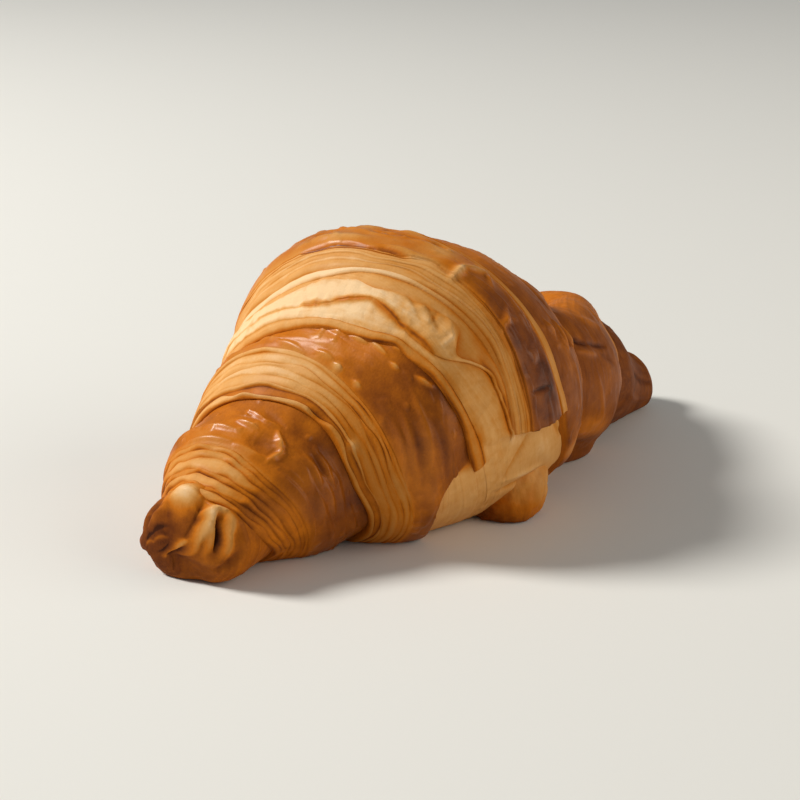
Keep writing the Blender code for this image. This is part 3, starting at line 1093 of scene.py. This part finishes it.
def melt_sheets(shell):
    """Melt the pale roll's torn sheets, and lower down its lip too."""
    turned = front_angle(shell.turn)
    low = smooth_step(MELT_LIP_BY, MELT_LIP_FROM, turned)
    lip = edge_at(PALE_EDGE, shell.turn) - MELT_LIP_BACK
    edge = low * edge_at(SECOND_SHEET, shell.turn) + (1.0 - low) * lip
    melt(shell, edge, MELT_FROM, MELT_BY, MELT_HEIGHT)


def melt_patch(shell):
    """Melt the pale patch low on the second roll."""
    turned = np.degrees(front_angle(shell.turn))
    degrees, shares = zip(*LOW_PATCH)
    melt(shell, np.interp(turned, degrees, shares), PATCH_FROM, PATCH_BY, PATCH_HEIGHT)


def cut_tongue(shell):
    """Sink the cap's shell below the tongue's end and under the back."""
    turned = np.degrees(front_angle(shell.turn))
    degrees, shares = zip(*TONGUE_END)
    line = np.interp(shell.share, shares, degrees)
    cover = smooth_step(line - TONGUE_STEP, line, turned)
    cover = cover * (1.0 - smooth_step(CAP_HIDDEN_FROM, CAP_HIDDEN_BY, turned))
    sunk = HIDDEN_HEIGHT + (shell.height - HIDDEN_HEIGHT) * cover
    shell.height = np.where(shell.height > (HIDDEN_HEIGHT + INNER_DEPTH) / 2.0, sunk, shell.height)
    # Painted shadow on the shell sunk below the tongue's end
    shell.tone += TONGUE_PAINTED_SHADOW * (1.0 - cover)


# Meshes


def ring_mesh(rows, columns):
    """Make a grid to be closed both ways, and say which row and column each vertex is."""
    shape = bmesh.new()
    bmesh.ops.create_grid(shape, x_segments=rows, y_segments=columns, size=1.0)
    places = vertex_places(shape)
    row = np.rint((places[:, 0] + 1.0) / 2.0 * rows).astype(int) % rows
    column = np.rint((places[:, 1] + 1.0) / 2.0 * columns).astype(int) % columns
    return shape, row, column


def ball_mesh(rows, columns):
    """Make a ball with its poles on the X axis; rows count from the low pole."""
    shape = bmesh.new()
    bmesh.ops.create_uvsphere(shape, u_segments=columns, v_segments=rows + 1, radius=1.0)
    bmesh.ops.transform(shape, matrix=Matrix.Rotation(math.radians(-90), 4, "Y"), verts=shape.verts)
    places = vertex_places(shape)
    latitude = np.arccos(np.clip(-places[:, 0], -1.0, 1.0))
    row = np.rint(latitude / math.pi * (rows + 1)).astype(int) - 1
    angle = np.arctan2(places[:, 2], -places[:, 1])
    column = np.rint(angle / math.tau * columns).astype(int) % columns
    return shape, row, column


def vertex_places(shape):
    """Return a mesh's vertices as an array of points."""
    return np.array([vertex.co for vertex in shape.verts])


def new_object(name, data):
    """Put a new object into the scene."""
    made = bpy.data.objects.new(name, data)
    bpy.context.scene.collection.objects.link(made)
    return made


def finished_piece(name, shape, places, values):
    """Turn a shape into the named piece, with its vertices at the places."""
    mesh = bpy.data.meshes.new(name)
    shape.to_mesh(mesh)
    shape.free()
    mesh.vertices.foreach_set("co", places.astype(np.float32).ravel())
    for title, numbers in values.items():
        attribute = mesh.attributes.new(title, "FLOAT", "POINT")
        attribute.data.foreach_set("value", numbers.astype(np.float32))
    checked = bmesh.new()
    checked.from_mesh(mesh)
    bmesh.ops.remove_doubles(checked, verts=checked.verts, dist=SEAM_GAP)
    bmesh.ops.recalc_face_normals(checked, faces=checked.faces)
    checked.to_mesh(mesh)
    checked.free()
    mesh.shade_smooth()
    mesh.materials.append(crust_material())
    piece = new_object(name, mesh)
    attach(piece, BODY)
    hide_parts(NODE)
    return piece


def shell_piece(name, shell, shape, row, column):
    """Put a ring or a ball over a shell's grid."""
    grid = body_point(shell.share, shell.turn, shell.height)
    rows = len(grid)
    inside = np.clip(row, 0, rows - 1)
    places = grid[inside, column]
    for pole in (-1, rows):
        places[row == pole] = grid[min(max(pole, 0), rows - 1)].mean(axis=0)
    values = {
        "tone": shell.tone[inside, column],
        "gloss": shell.gloss[inside, column],
        "across": shell.across[inside, column],
    }
    return finished_piece(name, shape, places, values)


def make_roll(roll, finish):
    """Build one roll with its folds and its fine relief."""
    shell = roll_shell(roll)
    if roll is PALE:
        melt_sheets(shell)
    if roll is SECOND:
        melt_patch(shell)
    add_relief(shell, finish, int(roll.seed))
    add_folds(shell, roll.folds)
    if roll is CAP:
        cut_tongue(shell)
    shape, row, column = ring_mesh(len(shell.rows), RING_COLUMNS)
    return shell_piece(roll.name, shell, shape, row, column)


def make_tip(tip, finish):
    """Build one tip with its pleats and its fine relief."""
    shell = tip_shell(tip)
    add_relief(shell, finish, tip.seed)
    add_folds(shell, tip.folds, TIP_FOLD_GLOSS)
    shape, row, column = ball_mesh(len(shell.rows), TIP_COLUMNS)
    return shell_piece(tip.name, shell, shape, row, column)


# Finish


class Value:
    """A number in a shader; Python's signs on it add Math nodes."""

    def __init__(self, tree, socket):
        """Wrap a socket of the tree."""
        self.tree = tree
        self.socket = socket

    def math(self, operation, first, second):
        """Add a Math node on two numbers."""
        node = self.tree.add("ShaderNodeMath", {"operation": operation}, {0: first, 1: second})
        return Value(self.tree, node.outputs[0])

    def __add__(self, other):
        return self.math("ADD", self, other)

    __radd__ = __add__

    def __sub__(self, other):
        return self.math("SUBTRACT", self, other)

    def __rsub__(self, other):
        return self.math("SUBTRACT", other, self)

    def __mul__(self, other):
        return self.math("MULTIPLY", self, other)

    __rmul__ = __mul__


class ShaderTree:
    """A material's nodes, added one call at a time."""

    def __init__(self, name):
        """Start a material with its Principled shader."""
        self.material = bpy.data.materials.new(name)
        self.material.use_nodes = True
        self.tree = self.material.node_tree
        self.shader = self.tree.nodes["Principled BSDF"]

    def add(self, kind, settings, values):
        """Add a node, set it up, and fill or link its sockets."""
        node = self.tree.nodes.new(kind)
        for title, setting in settings.items():
            if title == "stops":
                self.set_stops(node.color_ramp, setting)
            else:
                setattr(node, title, setting)
        self.fill(node, values)
        return node

    def fill(self, node, values):
        """Give a node's sockets their numbers, colours or links."""
        for title, value in values.items():
            if isinstance(value, Value):
                self.tree.links.new(value.socket, node.inputs[title])
            elif isinstance(value, bpy.types.NodeSocket):
                self.tree.links.new(value, node.inputs[title])
            else:
                node.inputs[title].default_value = value

    def set_stops(self, ramp, stops):
        """Give a colour ramp its stops."""
        while len(ramp.elements) < len(stops):
            ramp.elements.new(1.0)
        for element, (place, colour) in zip(ramp.elements, stops):
            element.position = place
            element.color = (*colour, 1.0)

    def value(self, socket):
        """Wrap a socket for sums."""
        return Value(self, socket)

    def attribute(self, title):
        """Read one of the mesh's own numbers."""
        return self.value(self.add("ShaderNodeAttribute", {"attribute_name": title}, {}).outputs["Fac"])

    def grain(self, place, scale, detail):
        """Read noise, centred on 0."""
        node = self.add("ShaderNodeTexNoise", {}, {"Vector": place, "Scale": scale, "Detail": detail})
        return self.value(node.outputs["Fac"]) - 0.5


def crust_material():
    """Return the crust's material, and make it the first time."""
    made = bpy.data.materials.get("baked_crust")
    if made:
        return made
    scene = bpy.context.scene
    colours, finish = scene.croissant_colours, scene.croissant_finish
    tree = ShaderTree("baked_crust")
    place = tree.add("ShaderNodeTexCoord", {}, {}).outputs["Object"]
    axes = tree.add("ShaderNodeSeparateXYZ", {}, {"Vector": place}).outputs
    tone, gloss, across = (tree.attribute(title) for title in ("tone", "gloss", "across"))
    y, z = tree.value(axes["Y"]), tree.value(axes["Z"])
    streaked = {"X": across * STREAKS_ACROSS, "Y": y * STREAKS_ALONG, "Z": z * STREAKS_ALONG}
    streak = tree.grain(tree.add("ShaderNodeCombineXYZ", {}, streaked).outputs[0], 1.0, 3.0)
    mottle = tree.grain(place, MOTTLES, 4.0)
    speck = tree.grain(place, SPECKS, 2.0)
    clamped = {"operation": "SUBTRACT", "use_clamp": True}
    bare = tree.value(tree.add("ShaderNodeMath", clamped, {0: 1.0, 1: gloss}).outputs[0])
    shade = tone + streak * bare * GRAIN_TONES[0] + mottle * GRAIN_TONES[1] + speck * GRAIN_TONES[2]
    stops = [(tone_stop, getattr(colours, name)) for name, tone_stop in TONE_STOPS.items()]
    colour = tree.add("ShaderNodeValToRGB", {"stops": stops}, {"Fac": shade}).outputs["Color"]
    relief = streak * bare * GRAIN_HEIGHTS[0] + mottle * GRAIN_HEIGHTS[1] + speck * GRAIN_HEIGHTS[2]
    grain = {"Strength": GRAIN_BUMP, "Distance": GRAIN_DEPTH, "Height": relief}
    bump = tree.add("ShaderNodeBump", {}, grain)
    tree.fill(tree.shader, {
        "Base Color": colour,
        "Roughness": BARE_ROUGHNESS - gloss * GLOSS_SMOOTHING + mottle * MOTTLE_ROUGHNESS,
        "Coat Weight": gloss * finish.gloss,
        "Coat Roughness": finish.coat_roughness,
        "Specular IOR Level": finish.shine,
        "Normal": bump.outputs["Normal"],
    })
    return tree.material


def floor_material(colour):
    """Make the plain floor's material."""
    tree = ShaderTree("plain_floor")
    place = tree.add("ShaderNodeTexCoord", {}, {}).outputs["Object"]
    grain = tree.grain(place, FLOOR_GRAIN, 3.0)
    tree.fill(tree.shader, {
        "Base Color": (*colour, 1.0),
        "Roughness": FLOOR_ROUGHNESS + grain * 0.05,
        "Specular IOR Level": FLOOR_SHINE,
    })
    return tree.material


# Operators


class CROISSANT_OT_nose(Operator):
    """Build the pinched near tip"""

    bl_idname = "croissant.nose"
    bl_label = "Pinched tip"

    def execute(self, context):
        """Shape the tip and pleat it."""
        make_tip(NEAR_TIP, context.scene.croissant_finish)
        return {"FINISHED"}


class CROISSANT_OT_rolls(Operator):
    """Build the rolls, from the near tip's collar to the hump before the far tip"""

    bl_idname = "croissant.rolls"
    bl_label = "Rolls"

    def execute(self, context):
        """Build each roll in its order along the spine."""
        for roll in ROLLS:
            make_roll(roll, context.scene.croissant_finish)
        return {"FINISHED"}


class CROISSANT_OT_far_tip(Operator):
    """Build the short far tip"""

    bl_idname = "croissant.far_tip"
    bl_label = "Far tip"

    def execute(self, context):
        """Shape the round end."""
        make_tip(FAR_TIP, context.scene.croissant_finish)
        return {"FINISHED"}


class CROISSANT_OT_foot(Operator):
    """Build the flap of dough squeezed out under the front"""

    bl_idname = "croissant.foot"
    bl_label = "Foot"

    def execute(self, context):
        """Shape a flattened lobe that leans out of the front."""
        shape = ball_mesh(FOOT_ROWS, FOOT_COLUMNS)[0]
        places = vertex_places(shape)
        centre = body_point(*(np.array([value]) for value in FOOT_PLACE))[0]
        lumps = 1.0
        for seed, scale, height in zip((7, 9), FOOT_LUMP_SCALES, FOOT_LUMP_HEIGHTS):
            lumps = lumps + height * rough_noise(places * scale, seed)
        lobe = places * lumps[:, None] * (np.array(FOOT_SIZE) * SCALE)
        lobe[:, 2] += FOOT_SLANT * lobe[:, 0]
        lobe += centre
        lobe[:, 2] = 0.5 * (lobe[:, 2] + np.sqrt(lobe[:, 2] ** 2 + FLOOR_SOFTNESS ** 2))
        low = 1.0 - smooth_step(FOOT_LOW_BY, FOOT_LOW_FROM, places[:, 2] + FOOT_LOW_LEAN * places[:, 0])
        patches = FOOT_PATCH_TONE * rough_noise(places * FOOT_PATCH_SCALE, 12)
        tone = FOOT_TONE + patches + FOOT_LOW_TONE * low
        values = {"tone": tone, "gloss": np.full(len(tone), FOOT_GLOSS), "across": lobe[:, 0] / MM}
        finished_piece("foot", shape, lobe, values)
        return {"FINISHED"}


class CROISSANT_OT_stage(Operator):
    """Lay the floor, and set the lights and the camera"""

    bl_idname = "croissant.stage"
    bl_label = "Stage"

    def execute(self, context):
        """Build the stage round the finished croissant."""
        studio = context.scene.croissant_studio
        make_floor(studio.floor)
        make_light("key", KEY_PLACE, KEY_SIZE, studio.key_power, KEY_COLOUR)
        make_light("fill", FILL_PLACE, FILL_SIZE, studio.fill_power, FILL_COLOUR)
        make_sky(studio.sky_strength)
        make_camera(studio.lens)
        context.scene.view_settings.view_transform = "Standard"
        return {"FINISHED"}


def make_floor(colour):
    """Lay a wide plain floor."""
    shape = bmesh.new()
    place = Matrix.Translation((0.0, 0.0, FLOOR_DROP))
    bmesh.ops.create_grid(shape, x_segments=4, y_segments=4, size=FLOOR_HALF, matrix=place)
    mesh = bpy.data.meshes.new("floor")
    shape.to_mesh(mesh)
    shape.free()
    mesh.materials.append(floor_material(colour))
    new_object("floor", mesh)


def make_light(name, place, size, power, colour):
    """Hang a round light that faces the croissant."""
    lamp = bpy.data.lights.new(name, "AREA")
    lamp.shape = "DISK"
    lamp.size = size
    lamp.energy = power
    lamp.color = colour
    light = new_object(name, lamp)
    light.location = place
    light.rotation_mode = "QUATERNION"
    light.rotation_quaternion = (LIGHT_AIM - place).to_track_quat("-Z", "Y")


def make_sky(strength):
    """Light the scene evenly from all round."""
    world = bpy.data.worlds.new("studio")
    world.use_nodes = True
    sky = world.node_tree.nodes["Background"]
    sky.inputs["Color"].default_value = (*SKY_COLOUR, 1.0)
    sky.inputs["Strength"].default_value = strength
    bpy.context.scene.world = world


def make_camera(lens):
    """Set the camera at the photo's angle."""
    back = Vector((
        math.sin(CAMERA_AZIMUTH) * math.cos(CAMERA_ELEVATION),
        -math.cos(CAMERA_AZIMUTH) * math.cos(CAMERA_ELEVATION),
        math.sin(CAMERA_ELEVATION),
    ))
    data = bpy.data.cameras.new("camera")
    data.lens = lens
    data.sensor_width = SENSOR
    camera = new_object("camera", data)
    camera.location = CAMERA_AIM + back * CAMERA_DISTANCE
    turn = back.to_track_quat("Z", "Y").to_matrix().to_4x4() @ Matrix.Rotation(CAMERA_ROLL, 4, "Z")
    camera.rotation_mode = "QUATERNION"
    camera.rotation_quaternion = turn.to_quaternion()
    bpy.context.scene.camera = camera


class VIEW3D_PT_croissant(Panel):
    """Lists the croissant's settings and its steps"""

    bl_idname = "VIEW3D_PT_croissant"
    bl_label = "Butter croissant"
    bl_space_type = "VIEW_3D"
    bl_region_type = "UI"
    bl_category = "Croissant"

    def draw(self, context):
        """Draw the settings, then a button for each step."""
        scene = context.scene
        for settings in (scene.croissant_colours, scene.croissant_finish, scene.croissant_studio):
            for title in settings.__annotations__:
                self.layout.prop(settings, title)
        for step in STEPS:
            self.layout.operator(step.bl_idname)


STEPS = (CROISSANT_OT_nose, CROISSANT_OT_rolls, CROISSANT_OT_far_tip, CROISSANT_OT_foot, CROISSANT_OT_stage)
SETTINGS = {
    "croissant_colours": CrustColours,
    "croissant_finish": CrustFinish,
    "croissant_studio": StudioSettings,
}


def register():
    """Register the settings, the operators and the panel."""
    for settings in SETTINGS.values():
        bpy.utils.register_class(settings)
    for title, settings in SETTINGS.items():
        setattr(bpy.types.Scene, title, PointerProperty(type=settings))
    for step in (*STEPS, VIEW3D_PT_croissant):
        bpy.utils.register_class(step)


def unregister():
    """Take everything out again."""
    for step in (VIEW3D_PT_croissant, *STEPS[::-1]):
        bpy.utils.unregister_class(step)
    for title, settings in SETTINGS.items():
        delattr(bpy.types.Scene, title)
        bpy.utils.unregister_class(settings)


def main():
    """Build the croissant and its stage."""
    register()
    for step in STEPS:
        group, name = step.bl_idname.split(".")
        getattr(getattr(bpy.ops, group), name)()


if __name__ == "__main__":
    main()
